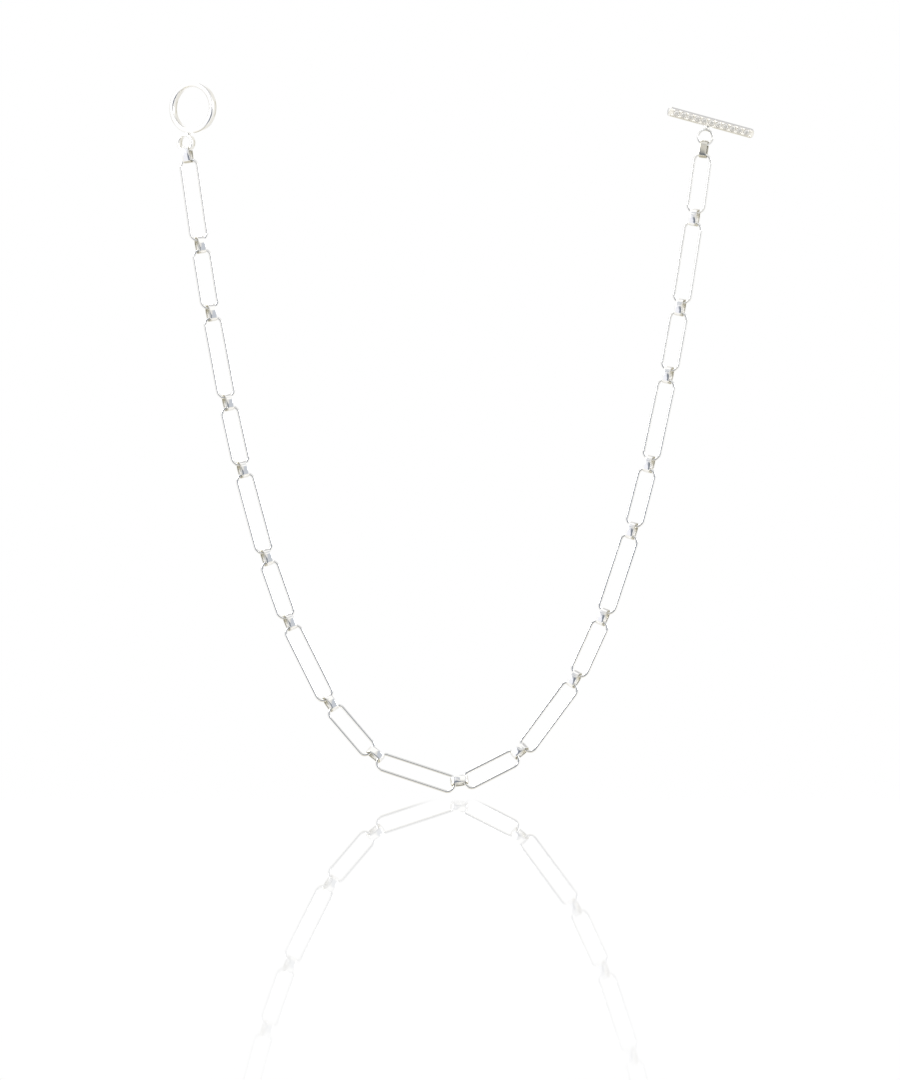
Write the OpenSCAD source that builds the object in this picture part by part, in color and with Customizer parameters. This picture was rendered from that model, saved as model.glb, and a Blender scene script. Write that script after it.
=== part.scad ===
// Paperclip chain necklace, open and hanging from its two ends.
// Millimetres, +Z up, +X to the right, the chain's flat side towards -Y.
// The origin is midway between the two ends of the chain, where it hangs.

/* [Links] */
// Diameter of the links' round wire
wire_d = 0.85; // [0.6:0.05:1.2]
// Outer length of a long link
long_link_l = 25; // [16:0.05:36]
// Outer length of a short link
short_link_l = 18.35; // [11:0.05:26]
// Outer width of every link
link_w = 5.8; // [5:0.1:8]
// Length of the straight stretch across a link's end
link_flat = 0.75; // [0.2:0.05:1.1]

/* [Connectors] */
// Outer length of a connector band
band_l = 5.4; // [4.8:0.1:7]
// Width of the strip that a connector is bent from
band_w = 2.2; // [1.6:0.1:2.6]
// Thickness of the strip at its middle
band_t = 0.4; // [0.3:0.05:0.6]
// How much thinner the strip is at its edges
band_crown = 0.12; // [0.04:0.02:0.2]
// Inner radius of a connector's bends
band_bend_r = 0.6; // [0.4:0.05:0.8]
// Turn of the connectors about the chain, so that their outer side shows
band_turn = 26; // [0:1:28]
// Turn of the first connector, next to the clasp ring
first_band_turn = -17; // [-20:1:-10]
// Turn of the last connector, next to the toggle bar
last_band_turn = 12; // [0:1:16]
// Gap between a connector and the wire that pulls on it
seat_gap = 0.13; // [0.1:0.01:0.16]
// Least gap in front of and behind what a connector holds
side_gap = 0.15; // [0.12:0.01:0.2]

/* [Hanging curve] */
// Radius of the hanging curve at its lowest point
sag_r = 28.4; // [18:0.1:45]
// Distance along the chain from its lowest point to the middle connector
low_shift = 4.2; // [-10:0.1:10]

/* [Clasp ring] */
// Outer diameter of the clasp ring
ring_d = 15.4; // [13:0.1:20]
// Thickness of the clasp ring's wall
ring_t = 1.5; // [1:0.1:2]
// Depth of the clasp ring from front to back
ring_depth = 2.5; // [1.8:0.1:3.5]
// Radius of the clasp ring's rounded edges
ring_edge_r = 0.4; // [0.1:0.05:0.45]
// Turn of the clasp ring from facing the front
ring_turn = 30; // [25:1:33]
// Lean of the clasp ring in its own plane
ring_lean = 13; // [0:1:20]
// Outer diameter of the small loop under the ring
ring_loop_d = 5.4; // [4.6:0.1:6]
// Wall of the small loop under the ring
ring_loop_t = 0.75; // [0.6:0.05:0.9]
// Depth of the small loop under the ring
ring_loop_depth = 2.0; // [1:0.1:2.4]
// Radius of the small loop's rounded edges
ring_loop_edge_r = 0.2; // [0.05:0.05:0.25]
// Length of the solder joint between ring and loop
ring_neck_l = 0.25; // [0.1:0.05:1]
// Width of the solder joint between ring and loop
ring_neck_w = 1.8; // [1:0.1:2.4]

/* [Toggle bar] */
// Length of the toggle bar
bar_l = 27.2; // [25:0.2:34]
// Diameter of the toggle bar
bar_d = 3.1; // [2.9:0.1:4]
// Radius of the rounding at the bar's ends
bar_end_r = 0.9; // [0.3:0.1:1.4]
// Slope of the bar, down to the right
bar_slope = 14; // [0:0.5:30]
// Turn of the bar from facing the front, its right end to the back
bar_turn = 14; // [0:1:16]
// Outer diameter of the loop under the bar
bar_loop_d = 5.3; // [4.6:0.1:6.5]
// Diameter of that loop's round wire
bar_loop_t = 0.75; // [0.6:0.05:1]
// Gap between the bar and its loop, which a short neck fills
bar_neck_l = 0.5; // [0.2:0.1:2]
// Diameter of the neck between the bar and its loop
bar_neck_d = 1.3; // [0.9:0.1:2]
// Distance of the loop from the middle of the bar, to the left
bar_loop_off = 0.5; // [-2:0.1:2]

/* [Stones] */
// Number of stones in the row
stone_count = 11; // [5:1:11]
// Diameter of a stone
stone_d = 1.8; // [1.2:0.1:1.9]
// Distance from one stone to the next
stone_pitch = 2.24; // [2.1:0.02:2.4]
// Height of a stone above its girdle
stone_crown = 0.28; // [0.15:0.01:0.4]
// Depth of a stone below its girdle
stone_pavilion = 0.76; // [0.5:0.01:0.85]
// Diameter of a stone's table
stone_table_d = 1.0; // [0.6:0.05:1.1]
// Gap between a stone and its seat
stone_gap = 0.05; // [0.03:0.01:0.08]
// Width of the flat on which the stones sit
row_w = 2.05; // [2.05:0.05:2.4]
// Turn of the row of stones below the front
row_turn = 10; // [0:1:30]
// Distance of the holding beads from the middle of the row
bead_off = 0.72; // [0.6:0.02:0.8]
// Share of each bead's diameter that stands above the flat
bead_rise = 0.62; // [0.5:0.01:0.75]

/* [Hidden] */
PAIRS = 9;
BANDS = 2 * PAIRS + 1;
LAST = 2 * BANDS - 2;

$fn = 48;
SILVER = [0.87, 0.87, 0.86];
STONE = [0.93, 0.96, 0.97];
STONE_SIDES = 16;
GIRDLE = 0.05;
LOOSE = 1.2;

// Half a link's width, its corners at the middle of the wire and on the inside
link_half_w = (link_w - wire_d) / 2;
corner_r = link_half_w - link_flat / 2;
corner_in_r = corner_r - wire_d / 2;

// Turn of the first and of the last connector against the loop that each one holds
first_loop_turn = ring_turn + first_band_turn;
last_loop_turn = bar_turn + last_band_turn;

// Half the width that a connector's strip takes in each of the two end loops
first_edge = edge_in_loop(ring_loop_depth, first_loop_turn);
last_edge = edge_in_loop(0, last_loop_turn);

// Sizes of the two end loops, never too tight for the strip, on the inside and at
// the middle of their walls
ring_loop_in_r = max(ring_loop_d / 2 - ring_loop_t, LOOSE * first_edge);
bar_loop_in_r = max(bar_loop_d / 2 - bar_loop_t, LOOSE * last_edge);
ring_loop_r = ring_loop_in_r + ring_loop_t / 2;
bar_loop_r = bar_loop_in_r + bar_loop_t / 2;

// Height of the ring's middle and of the bar's middle line above their loops
ring_up = ring_loop_r + ring_loop_t / 2 + ring_neck_l + ring_d / 2;
bar_up = bar_loop_r + bar_loop_t / 2 + bar_neck_l + bar_d / 2;

// Space inside a connector: its length, and its room from front to back. The first
// one is deeper: it holds a deep loop, whose edges have to clear the band's bends.
band_in_l = band_l - 2 * band_t;
band_room = 2 * max(
    band_bend_r,
    side_gap + room_for(wire_d, max(band_turn, last_band_turn)),
    side_gap + room_for(bar_loop_t, last_loop_turn)
);
first_room = 2 * max(
    band_bend_r,
    side_gap + room_for(wire_d, first_band_turn),
    2 * side_gap + room_for(ring_loop_depth, first_loop_turn)
);

// The hanging chain: pieces 0, 2, 4 are connectors and 1, 3, 5 links.
// Each piece is straight, with the slope that a hanging curve has at its middle.
MIDDLE = BANDS - 1;
runs = sums([for (i = [0 : LAST]) piece_len(i)]);
path = sums([for (i = [0 : LAST]) step(i)]);
hang = (path[0] + path[LAST + 1]) / 2;

// The sums of a list's first items, from none of them to all
function sums(items) = [
    for (i = 0, sum = 0 * items[0]; i <= len(items);
        sum = i < len(items) ? sum + items[i] : sum, i = i + 1)
    sum
];

// Half the depth that a wall of thickness t takes in a band turned against it
function room_for(t, turn) = band_w / 2 * abs(tan(turn)) + t / 2 / cos(turn);

// A vector of the chain's plane, turned by an angle
function turned(v, a) = [v[0] * cos(a) - v[1] * sin(a), v[0] * sin(a) + v[1] * cos(a)];

// Where a band's strip rests in the rounded end of a link, from the link's middle:
// along the link, and towards the inside of the necklace. The strip's two edges
// touch the inside of the bend, and bend is the angle between link and band.
function rest_in_link(length, turn, bend) = let(
        edge = band_w / 2 / cos(turn),
        ahead = edge * cos(bend) - link_flat / 2,
        aside = edge * sin(bend),
        grow = sqrt(pow(corner_in_r, 2) / (pow(ahead, 2) + pow(aside, 2)) - 1)
    ) [length / 2 - wire_d / 2 - corner_r + grow * ahead, grow * aside];

// Half the width that a strip takes in a round loop of some depth, turned against it,
// and how far from the middle of the loop the strip then rests
function edge_in_loop(depth, turn) = band_w / 2 / cos(turn) + depth / 2 * abs(tan(turn));
function rest_in_loop(in_r, edge) = sqrt(pow(in_r, 2) - pow(edge, 2));

// Length of a piece between the two places where it is held
function link_len(i) = i % 4 == 1 ? long_link_l : short_link_l;
function piece_len(i) =
    i % 2 == 0 ? band_in_l - 2 * seat_gap : 2 * rest_in_link(link_len(i), band_turn, 0)[0];

// Distance along the chain from its lowest point to the middle of a piece
function along(i) = runs[i] + piece_len(i) / 2 - runs[MIDDLE] - piece_len(MIDDLE) / 2 + low_shift;

// Slope of a piece in degrees and its direction, in the plane of the chain
function slope(i) = atan(along(i) / sag_r);
function heading(i) = [cos(slope(i)), sin(slope(i))];

// Turn of a connector about the chain
function turn_of(i) = i == 0 ? first_band_turn : i == LAST ? last_band_turn : band_turn;

// Where a piece is held at its left (side -1) or right (side 1), from its middle
function held_at(i, side) =
    i % 2 == 0 ? [side * piece_len(i) / 2, 0] :
    let(rest = rest_in_link(link_len(i), turn_of(i + side), side * (slope(i + side) - slope(i))))
    [side * rest[0], rest[1]];

// From one end of a piece to the other, and the middle of a piece
function step(i) = turned(held_at(i, 1) - held_at(i, -1), slope(i));
function middle(i) = path[i] - turned(held_at(i, -1), slope(i));

// The direction of the chain's pull on a loop, in the plane of the turned loop
function pull_on(i, turn) = let(flat = [heading(i)[0] * cos(turn), heading(i)[1]]) flat / norm(flat);

// A point of the chain's plane in space, seen from where the necklace hangs
function place(p) = [p[0] - hang[0], 0, p[1] - hang[1]];

// Puts a piece's own +X along the chain and its own +Y across it, in the plane
module on_chain(i) {
    translate(place(middle(i)))
        rotate([90, -slope(i), 0])
            children();
}

// A length to the nearest thousandth, so that faces which meet do so exactly
function neat(length) = round(1000 * length) / 1000;

// A closed loop of one section swept round a rectangle with rounded corners
module rounded_loop(half_l, half_w, r) {
    ahead = neat(half_l - r);
    aside = neat(half_w - r);
    for (turn = [0 : 90 : 270]) {
        corner = turn % 180 == 0 ? [ahead, aside] : [aside, ahead];
        rotate(turn) {
            translate(corner)
                rotate_extrude(angle = 90) translate([r, 0]) children();
            if (corner[1] > 0)
                translate([corner[0] + r, corner[1], 0])
                    rotate([90, 0, 0]) linear_extrude(2 * corner[1]) children();
        }
    }
}

// Section of a rectangular wall with rounded edges
module edged(w, h, r) {
    square([w - 2 * r, h], center = true);
    square([w, h - 2 * r], center = true);
    for (x = [-1, 1], y = [-1, 1])
        translate([x * (w / 2 - r), y * (h / 2 - r)]) circle(r);
}

// A link of round wire, lying flat in the chain's plane
module link(i) {
    color(SILVER)
        on_chain(i)
            rounded_loop((link_len(i) - wire_d) / 2, link_half_w, corner_r)
                circle(d = wire_d);
}

module long_link(n) {
    link(4 * n - 3);
}

module short_link(n) {
    link(4 * n - 1);
}

// Section of the connectors' strip: flat inside, slightly domed outside
module strip() {
    dome_r = (pow(band_w / 2, 2) + pow(band_crown, 2)) / (2 * band_crown);
    intersection() {
        translate([0, -band_w / 2]) square([band_t, band_w]);
        translate([band_t - dome_r, 0]) circle(dome_r, $fn = 180);
    }
}

// A connector: the strip bent round into a flat oval band
module connector(n) {
    i = 2 * (n - 1);
    color(SILVER)
        on_chain(i)
            rotate([90 - turn_of(i), 0, 0])
                rounded_loop(band_in_l / 2, (i == 0 ? first_room : band_room) / 2, band_bend_r)
                    strip();
}

// The clasp ring and the small loop soldered under it
module clasp_ring() {
    rest = rest_in_loop(ring_loop_in_r, first_edge);
    color(SILVER)
        translate(place(path[0]))
            rotate([90, 0, -ring_turn])
                translate(-rest * pull_on(0, ring_turn))
                    rotate(-ring_lean) {
                        rotate_extrude() translate([ring_loop_r, 0])
                            edged(ring_loop_t, ring_loop_depth, ring_loop_edge_r);
                        translate([0, ring_up, 0])
                            rotate_extrude($fn = 96) translate([(ring_d - ring_t) / 2, 0])
                                edged(ring_t, ring_depth, ring_edge_r);
                        ring_solder();
                    }
}

// The solder that joins the loop to the ring, hollowed by both eyes
module ring_solder() {
    low = ring_loop_r;
    high = ring_up - (ring_d - ring_t) / 2;
    translate([0, (low + high) / 2, 0])
        cube([ring_neck_w, high - low, ring_loop_depth - 2 * ring_loop_edge_r], center = true);
}

// Puts a piece's own +X along the toggle bar and its own +Y away from its loop
module on_bar() {
    rest = rest_in_loop(bar_loop_in_r, last_edge);
    translate(place(path[LAST + 1]))
        rotate([90, 0, bar_turn])
            translate(rest * pull_on(LAST, bar_turn))
                rotate(-bar_slope)
                    translate([bar_loop_off, bar_up, 0])
                        children();
}

// The row of stones on the bar: each place's own +Z points out of the stone
module along_row(count, step) {
    flat_up = sqrt(pow(bar_d / 2, 2) - pow(row_w / 2, 2));
    rotate([row_turn, 0, 0])
        for (k = [0 : count - 1])
            translate([(k - (count - 1) / 2) * step, 0, flat_up])
                children();
}

// The round toggle bar, its neck and loop, and the seats and beads of its stones
module toggle_bar() {
    color(SILVER)
        on_bar() {
            difference() {
                bar_body();
                rotate([row_turn, 0, 0]) bar_flat();
                along_row(stone_count, stone_pitch) stone_seat();
            }
            along_row(stone_count + 1, stone_pitch) bead_pair();
            translate([-bar_loop_off, -bar_up, 0]) {
                rotate_extrude() translate([bar_loop_r, 0]) circle(d = bar_loop_t);
                translate([0, bar_loop_r, 0]) bar_neck();
            }
        }
}

// The plain bar, round in section, with rounded rims
module bar_body() {
    rotate([0, 90, 0])
        rotate_extrude()
            intersection() {
                translate([0, -bar_l / 2]) square([bar_d, bar_l]);
                edged(bar_d, bar_l, bar_end_r);
            }
}

// What is cut away in front of the stones
module bar_flat() {
    flat_up = sqrt(pow(bar_d / 2, 2) - pow(row_w / 2, 2));
    flat_l = (stone_count + 1) * stone_pitch;
    translate([-flat_l / 2, -bar_d / 2, flat_up]) cube([flat_l, bar_d, bar_d]);
}

// The post between the bar and its loop
module bar_neck() {
    rotate([-90, 0, 0]) cylinder(d = bar_neck_d, h = bar_loop_t / 2 + bar_neck_l + bar_d / 4);
}

// The pocket that a stone sits in
module stone_seat() {
    seat_d = stone_d + 2 * stone_gap;
    sink = GIRDLE + stone_gap;
    translate([0, 0, -sink]) cylinder(d = seat_d, h = sink + bar_d);
    translate([0, 0, -sink - stone_pavilion])
        cylinder(d1 = 2 * stone_gap, d2 = seat_d, h = stone_pavilion);
}

// Two beads of metal beside the row, between one stone and the next
module bead_pair() {
    bead_r = norm([stone_pitch / 2, bead_off]) - stone_d / 2 - stone_gap;
    for (side = [-1, 1])
        translate([0, side * bead_off, (2 * bead_rise - 1) * bead_r])
            sphere(bead_r);
}

// A round cut stone: a table, a ring of crown facets, a girdle and a pavilion
module stone() {
    n = STONE_SIDES;
    half = n / 2;
    table = [for (k = [0 : half - 1])
        let(a = 360 * k / half)
        [stone_table_d / 2 * cos(a), stone_table_d / 2 * sin(a), stone_crown]];
    rim = [for (z = [0, -GIRDLE], k = [0 : n - 1])
        let(a = 360 * k / n)
        [stone_d / 2 * cos(a), stone_d / 2 * sin(a), z]];
    culet = [[0, 0, -GIRDLE - stone_pavilion]];
    low = half + n;
    crown_faces = [for (k = [0 : half - 1])
        let(t = k, u = (k + 1) % half, g = half + 2 * k, h = half + (2 * k + 2) % n)
        each [[t, g + 1, g], [t, u, g + 1], [u, h, g + 1]]];
    girdle_faces = [for (k = [0 : n - 1])
        let(l = (k + 1) % n)
        each [[half + k, half + l, low + l], [half + k, low + l, low + k]]];
    pavilion_faces = [for (k = [0 : n - 1]) [low + k, low + (k + 1) % n, low + n]];
    polyhedron(
        points = concat(table, rim, culet),
        faces = concat([[for (k = [half - 1 : -1 : 0]) k]], crown_faces, girdle_faces, pavilion_faces)
    );
}

module bar_stones() {
    color(STONE)
        on_bar()
            along_row(stone_count, stone_pitch)
                stone();
}

clasp_ring();
toggle_bar();
bar_stones();
for (n = [1 : PAIRS]) {
    long_link(n);
    short_link(n);
}
for (n = [1 : BANDS])
    connector(n);
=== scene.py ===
"""The finish and the studio of a paperclip chain necklace: swept silver wire, bent strip bands,
a toggle ring, a stone-set toggle bar, a white room and a camera. Lengths are in metres."""

import sys

import logging
import math
from dataclasses import dataclass, field
from enum import Enum
from itertools import accumulate
from typing import Iterable, Sequence, Union

import bmesh
import bpy
from mathutils import Matrix, Vector

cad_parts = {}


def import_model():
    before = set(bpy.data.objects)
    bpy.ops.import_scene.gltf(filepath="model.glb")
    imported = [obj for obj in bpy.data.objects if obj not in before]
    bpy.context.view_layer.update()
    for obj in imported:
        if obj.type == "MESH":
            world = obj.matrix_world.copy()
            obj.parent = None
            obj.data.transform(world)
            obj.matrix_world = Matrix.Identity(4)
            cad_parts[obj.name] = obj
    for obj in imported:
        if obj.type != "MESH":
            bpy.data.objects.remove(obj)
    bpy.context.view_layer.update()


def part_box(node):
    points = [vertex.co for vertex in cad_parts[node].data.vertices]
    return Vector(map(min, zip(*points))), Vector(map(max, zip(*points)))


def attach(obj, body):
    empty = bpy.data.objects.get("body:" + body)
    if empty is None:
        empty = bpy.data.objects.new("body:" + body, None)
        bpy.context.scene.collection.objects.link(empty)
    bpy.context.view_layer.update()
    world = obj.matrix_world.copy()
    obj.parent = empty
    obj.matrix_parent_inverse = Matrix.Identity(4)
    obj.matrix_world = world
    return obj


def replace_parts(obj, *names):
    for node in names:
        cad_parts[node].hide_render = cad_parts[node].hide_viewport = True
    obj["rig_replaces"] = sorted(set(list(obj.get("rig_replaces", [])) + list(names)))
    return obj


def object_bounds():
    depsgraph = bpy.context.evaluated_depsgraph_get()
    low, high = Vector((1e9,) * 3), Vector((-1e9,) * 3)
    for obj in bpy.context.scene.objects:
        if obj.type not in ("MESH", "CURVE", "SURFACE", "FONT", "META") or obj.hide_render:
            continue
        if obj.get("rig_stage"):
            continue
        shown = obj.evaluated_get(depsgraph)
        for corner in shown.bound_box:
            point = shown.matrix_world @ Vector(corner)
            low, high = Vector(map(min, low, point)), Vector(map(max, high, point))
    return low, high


MM = 0.001
ROOT = "root"
# Name of the vertex value of painted shade: shade and dark reflection painted into hollows, inner
# faces and seats, and the painted grey over the stones' tables.
PAINTED_SHADE = "painted_shade"
OWN_PLACE = "own_place"
WORKED = "worked"
LOG = logging.getLogger("necklace")
# The numbers of the Mix node's colour sockets
MIX_FACTOR, MIX_LOW, MIX_HIGH, MIX_RESULT = 0, 6, 7, 2

Colour = tuple[float, float, float]
Number = Union[int, float]


class Slot(Enum):
    """The material slots of the record."""

    SILVER = "silver"
    STONES = "stones"


class Kind(Enum):
    """The kinds of piece that the chain is made of."""

    CONNECTOR = 0
    LONG_LINK = 1
    SHORT_LINK = 2


# Shader maths


class Wire:
    """A socket or a plain number that takes part in shader maths.

    Args:
        graph: The graph that new nodes go into.
        value: An output socket, a number, or a tuple of numbers.
    """

    def __init__(self, graph: "Graph", value: object) -> None:
        """Keeps the graph and the value."""
        self.graph = graph
        self.value = value.value if isinstance(value, Wire) else value

    def _math(self, operation: str, *others: object) -> "Wire":
        """One Math node over this value and others."""
        operands = dict(enumerate((self, *others)))
        return self.graph.node("ShaderNodeMath", {"operation": operation}, operands)

    def __add__(self, other: object) -> "Wire":
        """Sum."""
        return self._math("ADD", other)

    __radd__ = __add__

    def __sub__(self, other: object) -> "Wire":
        """Difference."""
        return self._math("SUBTRACT", other)

    def __rsub__(self, other: object) -> "Wire":
        """Difference, reflected."""
        return Wire(self.graph, other)._math("SUBTRACT", self)

    def __mul__(self, other: object) -> "Wire":
        """Product."""
        return self._math("MULTIPLY", other)

    __rmul__ = __mul__

    def __neg__(self) -> "Wire":
        """Negative."""
        return self._math("MULTIPLY", -1.0)

    def __abs__(self) -> "Wire":
        """Absolute value."""
        return self._math("ABSOLUTE")

    def turn_from(self, other: object) -> "Wire":
        """The angle whose tangent is this over another value."""
        return self._math("ARCTAN2", other)

    def arc_cosine(self) -> "Wire":
        """The angle whose cosine this is."""
        return self._math("ARCCOSINE")

    def step(self, start: Number, end: Number) -> "Wire":
        """A smooth rise from 0 at the start to 1 at the end."""
        ends = {"Value": self, "From Min": start, "From Max": end}
        return self.graph.node("ShaderNodeMapRange", {"interpolation_type": "SMOOTHSTEP"}, ends)

    def past(self, edge: Number, soft: Number) -> "Wire":
        """A smooth rise from 0 to 1 over an edge whose half width is soft."""
        return self.step(edge - soft, edge + soft)

    def within(self, start: Number, end: Number, soft: Number) -> "Wire":
        """1 between two values and 0 outside them, with edges whose half width is soft."""
        return self.past(start, soft) * (1 - self.past(end, soft))


@dataclass(frozen=True)
class Grain:
    """Soft noise in a surface: how fine it is, and how deep and how strongly it dents."""

    per_mm: float
    detail: float
    depth: float = 0.0
    strength: float = 0.0


class Graph:
    """The node tree of a material or world, with one method that makes every node.

    Args:
        owner: The new material or world, whose tree is emptied first.
    """

    def __init__(self, owner: Union[bpy.types.Material, bpy.types.World]) -> None:
        """Empties the tree."""
        owner.use_nodes = True
        self.tree = owner.node_tree
        self.tree.nodes.clear()

    def node(
        self,
        kind: str,
        settings: dict[str, object] | None = None,
        inputs: dict[Union[str, int], object] | None = None,
        output: Union[str, int] = 0,
    ) -> Wire:
        """Adds a node.

        Args:
            kind: The node's type name.
            settings: Its attributes, set before its sockets are used.
            inputs: Values or links by socket name or number.
            output: The output that the result stands for.

        Returns:
            The chosen output, or an empty wire for a node that has none.
        """
        made = self.tree.nodes.new(kind)
        for name, value in (settings or {}).items():
            setattr(made, name, value)
        for name, value in (inputs or {}).items():
            self.plug(made.inputs[name], value)
        return Wire(self, made.outputs[output] if made.outputs else None)

    def plug(self, socket: bpy.types.NodeSocket, value: object) -> None:
        """Links a wire to a socket or sets the socket's own value.

        Args:
            socket: The input socket.
            value: A wire, a number or a tuple.
        """
        plain = value.value if isinstance(value, Wire) else value
        if isinstance(plain, bpy.types.NodeSocket):
            self.tree.links.new(plain, socket)
        elif isinstance(plain, tuple) and len(plain) == 3 and socket.type == "RGBA":
            socket.default_value = (*plain, 1.0)
        else:
            socket.default_value = plain

    def axes(self, place: Wire) -> list[Wire]:
        """X, Y and Z of a vector."""
        split = self.node("ShaderNodeSeparateXYZ", {}, {0: place}).value.node
        return [Wire(self, socket) for socket in split.outputs]

    def attribute(self, name: str, output: str = "Fac") -> Wire:
        """A value that the mesh carries at each of its points."""
        return self.node("ShaderNodeAttribute", {"attribute_name": name}, output=output)

    def blend(self, factor: object, low: object, high: object) -> Wire:
        """Mixes two colours: factor 0 gives the first and 1 the second."""
        inputs = {MIX_FACTOR: factor, MIX_LOW: low, MIX_HIGH: high}
        return self.node("ShaderNodeMix", {"data_type": "RGBA"}, inputs, MIX_RESULT)

    def vector(self, operation: str, *operands: object, output: str = "Vector") -> Wire:
        """One Vector Math node over its operands."""
        inputs = dict(enumerate(operands))
        return self.node("ShaderNodeVectorMath", {"operation": operation}, inputs, output)

    def noise(self, place: Wire, grain: Grain) -> Wire:
        """Soft noise from 0 to 1, laid over a place."""
        inputs = {"Vector": place, "Scale": grain.per_mm / MM, "Detail": grain.detail}
        return self.node("ShaderNodeTexNoise", {}, inputs)

    def bump(self, height: Wire, grain: Grain, under: Wire | None = None) -> Wire:
        """Lays relief over a surface, or over the relief below it.

        Args:
            height: How high each place stands, from 0 to 1.
            grain: How deep and how strong the relief is.
            under: The relief below it.

        Returns:
            The normal.
        """
        inputs = {"Strength": grain.strength, "Distance": grain.depth, "Height": height}
        if under is not None:
            inputs["Normal"] = under
        return self.node("ShaderNodeBump", {}, inputs)


@dataclass(frozen=True)
class Zone:
    """A toned zone: its colour, where it starts and ends, and a ring's edges' half width."""

    colour: Colour
    start: float
    end: float
    soft: float = 0.0

    def laid(self, under: object, measure: Wire, share: Wire | None = None) -> Wire:
        """Lays the zone over the colour below it.

        Args:
            under: The colour below.
            measure: What its start and end are measured on.
            share: How much of it shows at each place, if not all.

        Returns:
            The colour on top.
        """
        if self.soft:
            shown = measure.within(self.start, self.end, self.soft)
        else:
            shown = measure.step(self.start, self.end)
        return measure.graph.blend(shown if share is None else shown * share, under, self.colour)


# Finishes


class Finish:
    """A finish, whose material is made of its own values."""

    name: str

    def surface(self, graph: Graph) -> Wire:
        """Makes the surface's nodes and gives back its shader. Each finish has its own."""
        raise NotImplementedError

    def material(self) -> bpy.types.Material:
        """Builds the material.

        Returns:
            The material.
        """
        made = bpy.data.materials.new(self.name)
        graph = Graph(made)
        graph.node("ShaderNodeOutputMaterial", {}, {"Surface": self.surface(graph)})
        return made


@dataclass(frozen=True)
class PolishedSilver(Finish):
    """Bright silver with fine polishing lines, painted olive-brown shade and dark reflection where
    the mesh carries painted shade, and satin flats.
    """

    name: str = "polished_silver"
    bright: Colour = (0.972, 0.966, 0.955)
    # Olive-brown of the painted shade and dark reflection.
    toned: Colour = (0.44, 0.40, 0.25)
    warm: Colour = (0.985, 0.955, 0.88)
    shade_share: float = 0.58
    least_shade: float = 0.6
    shade_spread: float = 0.8
    roughness: float = 0.075
    roughness_spread: float = 0.07
    hidden_roughness: float = 0.12
    worked_roughness: float = 0.32
    satin: float = 0.6
    piece_shift: tuple[float, float, float] = (1.0, 0.7, 0.3)
    line_stretch: tuple[float, float, float] = (0.12, 1.0, 1.0)
    cloud: Grain = Grain(0.35, 3.0)
    waves: Grain = Grain(0.8, 1.0, 0.010 * MM, 0.6)
    dents: Grain = Grain(6.0, 2.0, 0.02 * MM, 0.7)
    lines: Grain = Grain(9.0, 2.0, 0.0012 * MM, 0.5)

    def surface(self, graph: Graph) -> Wire:
        """Makes the silver, whose polishing lines run along each piece's own X.

        Args:
            graph: The material's graph.

        Returns:
            The shader.
        """
        seed = graph.node("ShaderNodeObjectInfo", output="Random")
        shifts = {axis: seed * share for axis, share in enumerate(self.piece_shift)}
        shift = graph.node("ShaderNodeCombineXYZ", {}, shifts)
        place = graph.vector("ADD", graph.attribute(OWN_PLACE, "Vector"), shift)
        painted_shade, worked = graph.attribute(PAINTED_SHADE), graph.attribute(WORKED)
        cloud = graph.noise(place, self.cloud)
        lines = graph.noise(graph.vector("MULTIPLY", place, self.line_stretch), self.lines)
        # Painted shade: olive-brown laid over the silver where the mesh carries painted shade,
        # varied by soft noise.
        shade = painted_shade * self.shade_share * (self.least_shade + self.shade_spread * cloud)
        colour = graph.blend(worked, graph.blend(shade, self.bright, self.toned), self.warm)
        rough = self.roughness + self.roughness_spread * cloud * lines
        rough = rough + painted_shade * self.hidden_roughness + worked * self.worked_roughness
        relief = graph.bump(graph.noise(place, self.waves), self.waves)
        relief = graph.bump(graph.noise(place, self.dents) * worked, self.dents, relief)
        relief = graph.bump(lines, self.lines, relief)
        metal = 1 - worked * self.satin
        inputs = {"Base Color": colour, "Metallic": metal, "Roughness": rough, "Normal": relief}
        return graph.node("ShaderNodeBsdfPrincipled", {}, inputs)


@dataclass(frozen=True)
class CutStone(Finish):
    """Clear, strongly bending stone with clean facets and a painted grey shade over its table."""

    name: str = "clear_stone"
    tint: Colour = (1.0, 0.99, 0.965)
    hazy: Colour = (0.98, 0.96, 0.93)
    # Painted grey shade over the table, and where it starts and ends on the painted shade value.
    table_shade: Colour = (0.70, 0.69, 0.65)
    table_shade_from: float = 0.7
    table_shade_to: float = 0.95
    index: float = 2.15
    clearness: float = 0.3
    roughness: float = 0.01
    haze_roughness: float = 0.02
    haze: Grain = Grain(1.4, 2.0)

    def surface(self, graph: Graph) -> Wire:
        """Makes the stone. The corners of its table carry the painted shade value, which paints the
        table grey.

        Args:
            graph: The material's graph.

        Returns:
            The shader.
        """
        haze = graph.noise(graph.attribute(OWN_PLACE, "Vector"), self.haze)
        # Painted grey shade over the table facets, where the stones look dark.
        table = graph.attribute(PAINTED_SHADE).step(self.table_shade_from, self.table_shade_to)
        inputs = {
            "Base Color": graph.blend(table, graph.blend(haze, self.tint, self.hazy), self.table_shade),
            "Roughness": self.roughness + self.haze_roughness * haze,
            "IOR": self.index,
            "Transmission Weight": self.clearness,
        }
        return graph.node("ShaderNodeBsdfPrincipled", {}, inputs)


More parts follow.
